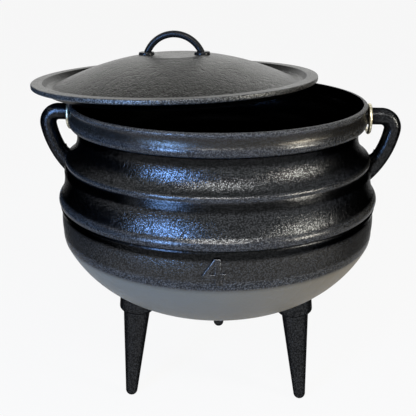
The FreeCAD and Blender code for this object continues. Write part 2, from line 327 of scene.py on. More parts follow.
def round_tree() -> NodeTree:
    """Repeats a shape at even turns about the upright axis.

    Returns:
        The tree.
    """
    tree, given = new_tree("round", "GeometryNodeTree", {
        "Shape": "Geometry", "Count": "Int", "First Turn": "Float", "Finish": "Material"}, {"Mesh": "Geometry"})
    spots = place(tree, "GeometryNodeMeshLine", {"Count": given["Count"], "Offset": (0.0, 0.0, 0.0)}, mode="OFFSET")
    share = compute(tree, "DIVIDE", place(tree, "GeometryNodeInputIndex").outputs[0], given["Count"])
    turn = compute(tree, "MULTIPLY_ADD", share, math.tau, given["First Turn"])
    upright = place(tree, "ShaderNodeCombineXYZ", {"Z": turn})
    copies = place(tree, "GeometryNodeInstanceOnPoints", {
        "Points": spots.outputs[0], "Instance": given["Shape"], "Rotation": upright.outputs[0]})
    return close_tree(tree, copies.outputs[0], given["Finish"])


def plain_mesh(source: Object, name: str) -> Object:
    """Swaps an object with live modifiers for a plain mesh of what they show.

    Args:
        source: The object, which is deleted.
        name: The new object's name.

    Returns:
        The new object.
    """
    seen = source.evaluated_get(bpy.context.evaluated_depsgraph_get())
    piece = add_object(name, bpy.data.meshes.new_from_object(seen))
    bpy.data.objects.remove(source)
    piece.data.name = name
    return piece


def grow(tree: NodeTree, source: Object, name: str, **values: object) -> Object:
    """Runs a tree on an object and keeps the result as a plain mesh.

    Args:
        tree: The Geometry Nodes tree.
        source: The object it starts from, which is deleted.
        name: The new object's name.
        values: The tree's inputs, with _ for a space.

    Returns:
        The new object.
    """
    given = source.modifiers.new(tree.name, "NODES")
    given.node_group = tree
    sockets = {item.name: item.identifier for item in tree.interface.items_tree if item.in_out == "INPUT"}
    for label, value in values.items():
        given[sockets[label.replace("_", " ").title()]] = value
    return plain_mesh(source, name)


def weld(base: Object, others: list[Object], turn: Turn) -> Object:
    """Joins closed shapes to one, or cuts them out of it.

    Args:
        base: The first shape.
        others: The shapes to join or cut, which are deleted.
        turn: Whether to join or to cut.

    Returns:
        The new object, under the first one's name.
    """
    for other in others:
        step = base.modifiers.new(turn.name, "BOOLEAN")
        step.operation = turn.value
        step.solver = "MANIFOLD"
        step.object = other
    name = base.name
    base.name = name + ".first"
    piece = plain_mesh(base, name)
    for other in others:
        bpy.data.objects.remove(other)
    return piece


def on_arc(centre: Pair, radius: float, degrees: float) -> Pair:
    """The (across, height) of a point on a circle, with the angle measured up from the outward way."""
    turn = math.radians(degrees)
    return centre[0] + radius * math.cos(turn), centre[1] + radius * math.sin(turn)


@dataclass
class Outline:
    """A half section, drawn out of the axis from point to point, with the skin of each stretch. Millimetres.

    Args:
        height: Where it leaves the axis.
        skin: The skin there.
        points: Every point's distance from the axis, height, grain, matt and wear.
    """

    height: float
    skin: Skin
    points: list[tuple[float, ...]] = field(default_factory=list)

    def __post_init__(self) -> None:
        """Sets the first point."""
        self.points.append((0.0, self.height, *self.skin.value))

    def draw(self, step: float, skin: Skin, *stops: tuple[float, ...]) -> None:
        """Draws on through one or more points, straight or in arcs.

        Args:
            step: The longest distance between two points.
            skin: The skin of these stretches.
            stops: The end of each stretch, across and up, and how far the stretch stands out from its chord, to
                the left of the way it is drawn; without a third number it is straight.
        """
        for across, height, bulge in ((*stop, 0.0)[:3] for stop in stops):
            x0, z0 = self.points[-1][:2]
            run, rise = across - x0, height - z0
            chord = math.hypot(run, rise)
            count = max(2, math.ceil(chord / step))
            for number in range(1, count + 1):
                share = number / count
                lift = 0.0
                if bulge:
                    radius = (chord**2 / 4 + bulge**2) / (2 * abs(bulge))
                    inset = radius - abs(bulge)
                    lift = math.sqrt(max(radius**2 - (share - 0.5) ** 2 * chord**2, 0.0)) - inset
                    lift = math.copysign(lift, bulge)
                x = x0 + run * share - rise / chord * lift
                z = z0 + rise * share + run / chord * lift
                self.points.append((x, z, *skin.value))

    def arc(self, step: float, skin: Skin, centre: Pair, radius: float, start: float, end: float) -> None:
        """Draws part of a circle.

        Args:
            step: The longest distance between two points.
            skin: The skin of this stretch.
            centre: The circle's centre, across and up.
            radius: Its radius.
            start: The first angle, in degrees up from the outward way.
            end: The last angle.
        """
        count = max(2, math.ceil(abs(math.radians(end - start)) * radius / step))
        for number in range(count + 1):
            self.points.append((*on_arc(centre, radius, start + (end - start) * number / count), *skin.value))

    def softened(self, passes: int) -> "Outline":
        """Rounds the corners as a casting's are, with the two ends kept.

        Args:
            passes: How often to round them.

        Returns:
            The outline itself.
        """
        for _ in range(passes):
            inner = [tuple((a + 2 * b + c) / 4 for a, b, c in zip(*three))
                     for three in zip(self.points, self.points[1:], self.points[2:])]
            self.points = [self.points[0], *inner, self.points[-1]]
        return self

    def piece(self, name: str) -> Object:
        """Makes an object of the points, from the last to the first, so that its faces look outwards.

        Args:
            name: The object's name.

        Returns:
            The new object.
        """
        points = self.points[::-1]
        mesh = bpy.data.meshes.new(name)
        mesh.from_pydata([(x * MM, 0.0, z * MM) for x, z, *_ in points], [], [])
        keep_skins(mesh, [point[2:] for point in points])
        return add_object(name, mesh)


def path_piece(name: str, points: list[Vector]) -> Object:
    """Makes an object of a row of points in millimetres, joined by edges.

    Args:
        name: The object's name.
        points: The row of points.

    Returns:
        The new object.
    """
    mesh = bpy.data.meshes.new(name)
    edges = [(number, number + 1) for number in range(len(points) - 1)]
    mesh.from_pydata([tuple(point * MM) for point in points], edges, [])
    return add_object(name, mesh)


def arc_points(centre: Vector, first: Vector, second: Vector, radius: float, start: float, end: float,
               step: float) -> list[Vector]:
    """Points along part of a circle in space.

    Args:
        centre: The circle's centre.
        first: The direction of angle 0.
        second: The direction of angle 90.
        radius: The circle's radius.
        start: The first angle, in degrees.
        end: The last angle, in degrees.
        step: The longest distance between two points.

    Returns:
        The points, with both ends.
    """
    count = max(2, math.ceil(abs(math.radians(end - start)) * radius / step))
    angles = [math.radians(start + (end - start) * number / count) for number in range(count + 1)]
    return [centre + first * (radius * math.cos(a)) + second * (radius * math.sin(a)) for a in angles]


@dataclass(frozen=True)
class SandPrint:
    """A sand mould's print on the metal: fine grain, pits and slow changes of colour.

    Args:
        detail: Detail of the grain's and the pits' noise.
        roughness: Roughness of the grain's noise.
        bump_scale: How fine the rounded bumps are against the grain.
        bump_share: How much the bumps take from the grain's height.
        bump_smooth: How softly the bumps meet.
        pit_scale: How fine the pits are against the grain.
        pit_ends: The noise at a pit's floor and at its edge.
        speckle_ends: The heights of the grain that look dark and bright.
        cloud_scale: How many slow changes there are to a metre.
        cloud_detail: Detail of the slow changes.
    """

    detail: float = 2.0
    roughness: float = 0.55
    bump_scale: float = 0.8
    bump_share: float = 0.7
    bump_smooth: float = 0.5
    pit_scale: float = 0.16
    pit_ends: Pair = (0.3, 0.5)
    speckle_ends: Pair = (0.02, 0.40)
    cloud_scale: float = 14.0
    cloud_detail: float = 3.0

    def group(self) -> NodeTree:
        """Builds the print as a shader group.

        Returns:
            The group, with the relief's height in metres, a mask of the bright grains and a slow cloud.
        """
        tree, given = new_tree("sand_print", "ShaderNodeTree", dict.fromkeys(PRINT_SIZES, "Float"),
                               dict.fromkeys(("Height", "Speckle", "Cloud"), "Float"))
        where = place(tree, "ShaderNodeTexCoord").outputs["Object"]

        def noise(scale: object, detail: float, **inputs: float) -> NodeSocket:
            """Even noise over the metal."""
            taken = {"Vector": where, "Scale": scale, "Detail": detail, **inputs}
            return place(tree, "ShaderNodeTexNoise", taken).outputs[0]

        scale = compute(tree, "DIVIDE", 1, given["Grain Size"])
        grain = noise(scale, self.detail, Roughness=self.roughness)
        bumps = place(tree, "ShaderNodeTexVoronoi", {
            "Vector": where, "Scale": compute(tree, "MULTIPLY", scale, self.bump_scale),
            "Smoothness": self.bump_smooth}, feature="SMOOTH_F1").outputs["Distance"]
        pits = noise(compute(tree, "MULTIPLY", scale, self.pit_scale), self.detail)
        pit = ranged(tree, pits, self.pit_ends, (-1.0, 0.0), soft=True)
        mixed = compute(tree, "SUBTRACT", grain, compute(tree, "MULTIPLY", bumps, self.bump_share))
        fine = compute(tree, "MULTIPLY", mixed, given["Grain Depth"])
        place(tree, "NodeGroupOutput", {
            "Height": compute(tree, "MULTIPLY_ADD", pit, given["Pit Depth"], fine),
            "Speckle": ranged(tree, mixed, self.speckle_ends, (0.0, 1.0), soft=True),
            "Cloud": noise(self.cloud_scale, self.cloud_detail)})
        return tree


def cover(tree: NodeTree, sand: NodeTree, sizes: Triple) -> dict[str, NodeSocket]:
    """Puts the sand mould's print in a material.

    Args:
        tree: The material's tree.
        sand: The shared group of the print.
        sizes: The grain's size and depth and the pits' depth, in metres.

    Returns:
        The print's outputs by name.
    """
    return place(tree, "ShaderNodeGroup", dict(zip(PRINT_SIZES, sizes)), node_tree=sand).outputs


def surface(tree: NodeTree, height: NodeSocket, **inputs: object) -> None:
    """Ends a material in its surface.

    Args:
        tree: The material's tree.
        height: The relief, in metres.
        inputs: The surface's inputs, with _ for a space.
    """
    bump = place(tree, "ShaderNodeBump", {"Distance": 1.0, "Height": height})
    named = {name.replace("_", " "): value for name, value in inputs.items()}
    made = place(tree, "ShaderNodeBsdfPrincipled", {"Normal": bump.outputs[0], **named})
    place(tree, "ShaderNodeOutputMaterial", {"Surface": made.outputs[0]})


@dataclass(frozen=True)
class IronFinish:
    """Black coated cast iron, glossier or duller by the skin of each stretch, with painted shade on its smooth
    stretches and a painted highlight along its beads.

    Args:
        name: The material's name.
        crown: The coating's colour on the tops of the grain.
        worn_and_highlight: The coating's light colour on the lip, edges and beads: partly real wear, partly a painted
            highlight along the beads.
        pocket_and_shade: The coating's colour between the grains, and the darker coat of the smooth stretches, which
            is painted shade.
        bare: The colour of the matt stretches.
        gloss: Roughness of the coated stretches.
        dull: Roughness of the matt stretches.
        shine: Specular level.
        edge: How much the coating reflects at a flat angle.
        grain_size: Size of the sand grain, in metres.
        grain_depth: Depth of the sand grain, in metres.
        pit_share: Depth of the pits against the grain's.
        dim: How much of the crown's colour the lowest grains keep.
        thinning: How much metallic shine a rubbed edge loses.
        cloudy: How far the slow changes take the roughness down and up.
    """

    name: str
    crown: Triple
    worn_and_highlight: Triple
    pocket_and_shade: Triple
    bare: Triple
    gloss: float
    dull: float
    shine: float
    edge: float
    grain_size: float
    grain_depth: float
    pit_share: float = 0.6
    dim: float = 0.2
    thinning: float = 0.5
    cloudy: Pair = (-0.04, 0.05)

    def material(self, sand: NodeTree) -> Material:
        """Builds the material.

        Args:
            sand: The shared group of the sand mould's print.

        Returns:
            The material.
        """
        made, tree = new_material(self.name)
        grain, matt, wear = (place(tree, "ShaderNodeAttribute", attribute_name=name).outputs["Fac"]
                             for name in SKIN_VALUES)
        printed = cover(tree, sand, (self.grain_size, self.grain_depth, self.grain_depth * self.pit_share))
        lit = compute(tree, "MULTIPLY_ADD", printed["Speckle"], 1 - self.dim, self.dim)
        # The light rubbed colour: partly wear, partly a painted highlight along the beads.
        tops = blend(tree, wear, self.crown, self.worn_and_highlight)
        # Where the grain value is low the coat goes towards the darkest colour: painted shade on the smooth
        # stretches.
        coat = blend(tree, compute(tree, "MULTIPLY", lit, grain), self.pocket_and_shade, tops)
        level = ranged(tree, matt, (0.0, 1.0), (self.gloss, self.dull))
        rough = compute(tree, "ADD", level, ranged(tree, printed["Cloud"], CLOUD_ENDS, self.cloudy))
        metal = compute(tree, "SUBTRACT", compute(tree, "SUBTRACT", 1, matt),
                        compute(tree, "MULTIPLY", wear, self.thinning))
        surface(tree, compute(tree, "MULTIPLY", printed["Height"], grain),
                Base_Color=blend(tree, matt, coat, self.bare), Metallic=metal, Roughness=rough,
                Specular_IOR_Level=self.shine, Specular_Tint=(self.edge, self.edge, self.edge, 1.0))
        return made


@dataclass(frozen=True)
class WireFinish:
    """Drawn steel wire under a slightly yellow zinc coat.

    Args:
        name: The material's name.
        zinc: The zinc's colour.
        dark: The colour of its dull flecks.
        roughness: Roughness of the cleanest and of the dullest zinc.
        fleck_size: Size of the flecks, in metres.
        fleck_depth: Depth of the flecks, in metres.
        pit_depth: Depth of the pits, in metres.
    """

    name: str
    zinc: Triple
    dark: Triple
    roughness: Pair
    fleck_size: float = 1.6 * MM
    fleck_depth: float = 0.04 * MM
    pit_depth: float = 0.02 * MM

    def material(self, sand: NodeTree) -> Material:
        """Builds the material.

        Args:
            sand: The shared group, here for the coat's flecks.

        Returns:
            The material.
        """
        made, tree = new_material(self.name)
        flecks = cover(tree, sand, (self.fleck_size, self.fleck_depth, self.pit_depth))
        surface(tree, flecks["Height"], Base_Color=blend(tree, flecks["Speckle"], self.dark, self.zinc),
                Metallic=1.0, Roughness=ranged(tree, flecks["Cloud"], CLOUD_ENDS, self.roughness))
        return made


@dataclass
class Workshop:
    """What every piece needs: the three trees that shape and the finishes that dress."""

    lathe: NodeTree
    rod: NodeTree
    round: NodeTree
    pot_iron: Material
    lid_iron: Material
    wire: Material


def finish_piece(piece: Object, body: str, node: str | None, sharp: float = 32.0) -> None:
    """Turns a mesh's faces outwards, shades it and sets it on its body.

    Args:
        piece: The finished mesh.
        body: The body it moves with.
        node: The CAD node it stands for, if it stands for one.
        sharp: The angle above which an edge stays crisp, in degrees.
    """
    work = bmesh.new()
    work.from_mesh(piece.data)
    bmesh.ops.remove_doubles(work, verts=work.verts, dist=POINT_WELD)
    bmesh.ops.recalc_face_normals(work, faces=work.faces)
    for face in work.faces:
        face.smooth = True
    work.to_mesh(piece.data)
    work.free()
    piece.data.set_sharp_from_angle(angle=math.radians(sharp))
    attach(piece, body)
    if node:
        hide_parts(node)
    piece.data.calc_loop_triangles()
    log.info("%s rides on %s with %d triangles", piece.name, body, len(piece.data.loop_triangles))


@dataclass
class Pot:
    """The casting: bowl, bands, collar, ears and legs. Sizes in millimetres."""

    ground_gap: float = 91.3
    bowl_rise: float = 68.7
    lower_band_h: float = 35.3
    middle_band_h: float = 34.5
    upper_band_h: float = 32.8
    collar_h: float = 20.8
    mouth_r: float = 130.0
    lip_w: float = 4.8
    collar_step: float = 3.3
    collar_bead_step: float = 4.9
    neck_pinch: float = 2.0
    neck_sweep: float = 3.6
    upper_swell: float = 9.9
    middle_swell: float = 17.5
    lower_swell: float = 15.3
    wall: float = 4.6
    lip_h: float = 3.4
    lip_round: float = 1.2
    collar_hollow: float = 0.5
    collar_bead_h: float = 8.4
    undercut: float = 2.7
    shelf_h: float = 6.3
    shelf_step: float = 1.2
    upper_bead_h: float = 5.7
    bead_h: float = 7.6
    bead_step: float = 3.0
    bead_bulge: float = 1.8
    groove: float = 1.0
    middle_hollow: float = 1.4
    lower_bulge: float = 0.6
    lower_bead_step: float = 0.4
    inner_neck_hollow: float = 1.5
    bowl_floor_r: float = 340.0
    bowl_side_r: float = 109.0
    bowl_setback: float = 0.8
    bowl_step: float = 4.0
    leg_count: int = 3
    leg_turn: float = 2.2
    leg_circle_r: float = 94.4
    leg_splay: float = 5.7
    foot_r: float = 5.7
    shank_r: float = 12.5
    knee_r: float = 16.3
    knee_z: float = 91.5
    ear_bar_r: float = 7.6
    ear_drop: float = 13.5
    ear_arm: float = 12.9
    ear_elbow_r: float = 11.0
    ear_elbow_turn: float = 100.0
    ear_limb_r: float = 78.3
    ear_limb_turn: float = 36.0
    ear_root_depth: float = 2.0
    ear_web_w: float = 9.0
    ear_web_notch_r: float = 5.0
    ear_web_notch_setback: float = 0.9
    outside_step: float = 1.2
    segments: int = 288
    unevenness: float = 0.12
    wave_length: float = 34.0

    def __post_init__(self) -> None:
        """Works out the places that follow from the sizes."""
        self.lower_line_z = self.ground_gap + self.bowl_rise
        self.middle_line_z = self.lower_line_z + self.lower_band_h
        self.upper_line_z = self.middle_line_z + self.middle_band_h
        self.neck_z = self.upper_line_z + self.upper_band_h
        self.rim_z = self.neck_z + self.collar_h
        self.lip_r = self.mouth_r + self.lip_w
        self.collar_r = self.mouth_r + self.collar_step
        self.collar_bead_r = self.mouth_r + self.collar_bead_step
        self.neck_r = self.mouth_r - self.neck_pinch
        self.upper_r = self.mouth_r + self.upper_swell
        self.middle_r = self.mouth_r + self.middle_swell
        self.lower_r = self.mouth_r + self.lower_swell
        self.ear_z = self.rim_z - self.ear_drop

    def bowl(self, outline: Outline, inset: float, skin: Skin) -> None:
        """Draws the bowl from its upper edge to the axis.

        Args:
            outline: The half section that it ends.
            inset: How far inside the outer form it lies.
            skin: The skin of the stretch.
        """
        floor = (0.0, self.ground_gap + self.bowl_floor_r)
        across = self.lower_r - self.bowl_setback
        down = floor[1] - self.lower_line_z
        span = math.hypot(across, down)
        reach = self.bowl_floor_r - self.bowl_side_r
        opening = math.acos((span**2 + reach**2 - self.bowl_side_r**2) / (2 * span * reach))
        meeting = -math.degrees(math.atan2(down, across) + opening)
        side = on_arc(floor, reach, meeting)
        side_r = self.bowl_side_r - inset
        start = math.degrees(math.asin((self.lower_line_z - side[1]) / side_r))
        outline.arc(self.bowl_step, skin, side, side_r, start, meeting)
        outline.arc(self.bowl_step, skin, floor, self.bowl_floor_r - inset, meeting, -90.0)

    def outside(self) -> Outline:
        """Draws the outer half section, from the axis at the rim down to the bowl.

        Returns:
            The outline.
        """
        lower, middle, upper = self.lower_line_z, self.middle_line_z, self.upper_line_z
        face_top = self.rim_z - self.lip_h
        bead_top = self.neck_z + self.undercut / 2 + self.collar_bead_h
        bead_foot = bead_top - self.collar_bead_h
        shoulder = self.lower_r - self.lower_bead_step
        shelf_z = middle - 3 * self.groove
        upper_bead_r, middle_bead_r = self.upper_r - self.groove, self.middle_r - self.groove
        outline = Outline(self.rim_z, Skin.EDGE)
        # The smooth stretches under the beads get a darker coat, painted shade; the beads and the lip get a light
        # colour, partly wear and partly a painted highlight.
        for skin, *stops in (
                (Skin.EDGE, (self.collar_r, self.rim_z), (self.collar_r, face_top, self.lip_r - self.collar_r)),
                (Skin.COLLAR_FACE, (self.collar_r, bead_top, -self.collar_hollow)),
                (Skin.RIDGE, (self.collar_r, bead_foot, self.collar_bead_r - self.collar_r)),
                (Skin.SMOOTH, (self.neck_r + self.shelf_step, self.neck_z),
                 (self.neck_r, self.neck_z - self.shelf_h)),
                (Skin.GRAINY, (upper_bead_r, upper + self.upper_bead_h, -self.neck_sweep)),
                (Skin.RIDGE, (upper_bead_r, upper + self.groove, self.groove)),
                (Skin.SMOOTH, (self.upper_r, upper), (self.upper_r + self.shelf_step, upper - self.shelf_h)),
                (Skin.GRAINY, (self.middle_r - self.bead_step, middle + self.bead_h, -self.middle_hollow)),
                (Skin.RIDGE, (middle_bead_r, middle - self.groove, self.bead_bulge)),
                (Skin.SMOOTH, (self.middle_r - 2 * self.groove, middle - 2 * self.groove),
                 (middle_bead_r, shelf_z), (shoulder, shelf_z - self.shelf_h)),
                (Skin.LOWER_BAND, (shoulder, lower + self.bead_h, self.lower_bulge)),
                (Skin.RIDGE, (self.lower_r - self.groove, lower + self.groove / 2, self.lower_bead_step))):
            outline.draw(self.outside_step, skin, *stops)
        self.bowl(outline, 0.0, Skin.BARE)
        return outline.softened(1)

    def hollow(self) -> Outline:
        """Draws the half section of the space inside, from above the rim down to the floor.

        Returns:
            The outline.
        """
        above = self.rim_z + self.wall
        edge_r = self.mouth_r + self.lip_round
        outline = Outline(above, Skin.INSIDE)
        outline.draw(4.0, Skin.INSIDE, (edge_r, above))
        outline.draw(4.0, Skin.SMOOTH, (edge_r, self.rim_z))
        outline.draw(0.4, Skin.SMOOTH, (self.mouth_r, self.rim_z - self.lip_round, -QUARTER_BULGE * self.lip_round))
        outline.draw(4.0, Skin.INSIDE, (self.mouth_r, self.rim_z - self.collar_h / 2),
                     (self.neck_r - self.wall, self.neck_z - self.shelf_h, -self.inner_neck_hollow),
                     (self.upper_r - self.wall, self.upper_line_z - self.shelf_h / 2, -self.neck_sweep),
                     (self.middle_r - self.wall - 2 * self.groove, self.middle_line_z - self.groove))
        self.bowl(outline, self.wall, Skin.INSIDE)
        return outline

    def legs(self, shop: Workshop) -> Object:
        """Builds the three legs as one object.

        Args:
            shop: The trees and finishes.

        Returns:
            The legs.
        """
        knee = self.knee_z - self.foot_r
        top = self.lower_line_z - self.foot_r
        knee_round = self.knee_r - self.shank_r
        outline = Outline(top, Skin.BEAD)
        outline.draw(2.5, Skin.BEAD, (self.knee_r, top), (self.knee_r, knee + knee_round))
        outline.draw(0.7, Skin.BEAD, (self.shank_r, knee, QUARTER_BULGE * knee_round))
        outline.draw(2.5, Skin.BEAD, (self.foot_r, 0.0))
        outline.arc(1.0, Skin.BEAD, (0.0, 0.0), self.foot_r, 0.0, -90.0)
        leg = grow(shop.lathe, outline.piece("leg_outline"), "leg", segments=56, unevenness=0.1 * MM,
                   wave_length=14 * MM, seed=3.0, finish=shop.pot_iron)
        splay = Matrix.Rotation(math.radians(-self.leg_splay), 4, "Y")
        leg.data.transform(Matrix.Translation(Vector((self.leg_circle_r, 0.0, self.foot_r)) * MM) @ splay)
        return grow(shop.round, leg, "legs", count=self.leg_count, first_turn=math.radians(90 + self.leg_turn),
                    finish=shop.pot_iron)

    def ears(self, shop: Workshop) -> list[Object]:
        """Builds the bars and the webs of both ears.

        Args:
            shop: The trees and finishes.

        Returns:
            The bars and the webs.
        """
        elbow = Vector((self.lip_r + self.ear_arm, 0, self.ear_z - self.ear_elbow_r))
        elbow_end = 90 - self.ear_elbow_turn
        limb = elbow + (OUT * math.cos(math.radians(elbow_end)) + UP * math.sin(math.radians(elbow_end))) * (
            self.ear_elbow_r - self.ear_limb_r)
        path = [Vector((self.mouth_r + self.ear_root_depth, 0, self.ear_z))]
        path += arc_points(elbow, OUT, UP, self.ear_elbow_r, 90, elbow_end, step=0.9)
        path += arc_points(limb, OUT, UP, self.ear_limb_r, elbow_end, elbow_end - self.ear_limb_turn, step=2.0)[1:]
        bar = grow(shop.rod, path_piece("ear_path", path), "ear_bar", radius=self.ear_bar_r * MM, sides=ROD_SIDES,
                   finish=shop.pot_iron, **Skin.BEAD.inputs())
        return [grow(shop.round, one, name, count=2, first_turn=0.0, finish=shop.pot_iron)
                for one, name in ((bar, "ear_bars"), (self.ear_web(limb), "ear_webs"))]

    def ear_web(self, limb: Vector) -> Object:
        """Cuts the thin plate in the ear's lower corner, with its round notch.

        Args:
            limb: The centre of the limb's bend.

        Returns:
            The plate.
        """
        inner_r = self.ear_limb_r - self.ear_bar_r
        notch_across = self.upper_r - self.ear_web_notch_setback
        inside = math.acos((notch_across + self.ear_web_notch_r - limb.x) / inner_r)
        corner = Vector((limb.x + inner_r * math.cos(inside), 0, limb.z - inner_r * math.sin(inside)))
        foot_z = self.upper_line_z - self.shelf_h
        outer, inner = corner.x + self.ear_bar_r / 2, self.upper_r - self.ear_bar_r
        notch = arc_points(Vector((notch_across, 0, corner.z)), OUT, -UP, self.ear_web_notch_r, 0, 180, step=0.8)
        ring = [Vector((outer, 0, foot_z)), Vector((outer, 0, corner.z)), *notch,
                Vector((inner, 0, corner.z)), Vector((inner, 0, foot_z))]
        work = bmesh.new()
        face = work.faces.new([work.verts.new(tuple((point + Vector((0, self.ear_web_w / 2, 0))) * MM))
                               for point in ring])
        pulled = bmesh.ops.extrude_face_region(work, geom=[face])["geom"]
        bmesh.ops.translate(work, vec=(0, -self.ear_web_w * MM, 0),
                            verts=[item for item in pulled if isinstance(item, bmesh.types.BMVert)])
        bmesh.ops.recalc_face_normals(work, faces=work.faces)
        mesh = bpy.data.meshes.new("ear_web")
        work.to_mesh(mesh)
        work.free()
        return add_object("ear_web", mesh)

    def build(self, shop: Workshop) -> None:
        """Builds and dresses the whole casting.

        Args:
            shop: The trees and finishes.
        """
        shaping = {"segments": self.segments, "unevenness": self.unevenness * MM,
                   "wave_length": self.wave_length * MM, "finish": shop.pot_iron}
        casting = grow(shop.lathe, self.outside().piece("pot_outline"), "pot_casting", seed=1.0, **shaping)
        casting = weld(casting, [self.legs(shop), *self.ears(shop)], Turn.JOIN)
        hollow = grow(shop.lathe, self.hollow().piece("hollow_outline"), "hollow", seed=2.0, **shaping)
        casting = weld(casting, [hollow], Turn.CUT)
        finish_piece(casting, POT_BODY, "pot_body")


@dataclass
class SizeDigit:
    """The raised size number on the lowest band. Sizes in millimetres."""

    width: float = 18.8
    foot_z: float = 165.2
    azimuth: float = -87.4
    relief: float = 1.1
    sink: float = 1.0
    edge: float = 1.0
    flat_share: float = 0.1
    # Depth share of the light rim, partly wear and partly a painted highlight; below it the foot is painted shade.
    worn_and_highlight_share: float = 0.7
    cut_step: float = 1.6
    nearness: float = 0.0001
    outer: tuple[Pair, ...] = (
        (0.0, 8.8), (1.2, 5.8), (10.2, 5.8), (10.2, 0.0), (16.0, 0.0), (15.6, 5.6),
        (18.6, 5.2), (18.8, 10.9), (15.1, 11.0), (15.0, 23.2), (10.0, 23.2))
    inner: tuple[Pair, ...] = ((5.6, 10.2), (10.2, 16.8), (10.2, 10.2))

    def build(self, shop: Workshop, pot: Pot) -> None:
        """Builds the digit and wraps it round the band.

        Args:
            shop: The trees and finishes.
            pot: The pot that carries it.
        """
        drawing = bpy.data.curves.new("digit_drawing", "CURVE")
        drawing.dimensions = "2D"
        drawing.fill_mode = "BOTH"
        for ring in (self.outer, self.inner):
            spline = drawing.splines.new("POLY")
            spline.points.add(len(ring) - 1)
            for spot, (right, up) in zip(spline.points, ring):
                spot.co = (right, up, 0.0, 1.0)
            spline.use_cyclic_u = True
        drawing.extrude = (self.relief + self.sink) / 2
        drawing.bevel_depth = self.edge
        drawing.bevel_resolution = 2
        drawing.offset = -self.edge
        piece = plain_mesh(add_object("digit_flat", drawing), "size_digit")
        self.wrap(piece.data, pot)
        piece.data.materials.clear()
        piece.data.materials.append(shop.pot_iron)
        finish_piece(piece, POT_BODY, None, sharp=50.0)

    def skin(self, down: float) -> Skin:
        """Chooses the skin at a height: a light rubbed rim, partly wear and partly a painted highlight, and below it
        a darker foot, painted shade round the digit.

        Args:
            down: The depth below the digit's face, where 1 is the foot of its rounded edge.

        Returns:
            The skin.
        """
        if down < self.flat_share:
            return Skin.LOWER_BAND
        return Skin.EDGE if down < self.worn_and_highlight_share else Skin.SMOOTH

    def wrap(self, mesh: Mesh, pot: Pot) -> None:
        """Cuts the flat digit into narrow strips and lays it on the band.

        Args:
            mesh: The flat digit, in millimetres, which is changed.
            pot: The pot that carries it.
        """
        band_r = pot.lower_r - pot.lower_bead_step
        outside = (self.relief - self.sink) / 2
        top = (self.relief + self.sink) / 2 + self.edge
        work = bmesh.new()
        work.from_mesh(mesh)
        bmesh.ops.remove_doubles(work, verts=work.verts, dist=0.001)
        for number in range(1, int(self.width / self.cut_step)):
            bmesh.ops.bisect_plane(work, geom=[*work.verts, *work.edges, *work.faces], dist=self.nearness,
                                   plane_co=(number * self.cut_step, 0, 0), plane_no=(1, 0, 0))
        skins = []
        for vert in work.verts:
            skins.append(self.skin((top - vert.co.z) / self.edge).value)
            turn = math.radians(self.azimuth) + (vert.co.x - self.width / 2) / band_r
            away = band_r + outside + vert.co.z
            spot = Vector((away * math.cos(turn), away * math.sin(turn), self.foot_z + vert.co.y))
            vert.co = spot * MM
        work.to_mesh(mesh)
        work.free()
        keep_skins(mesh, skins)


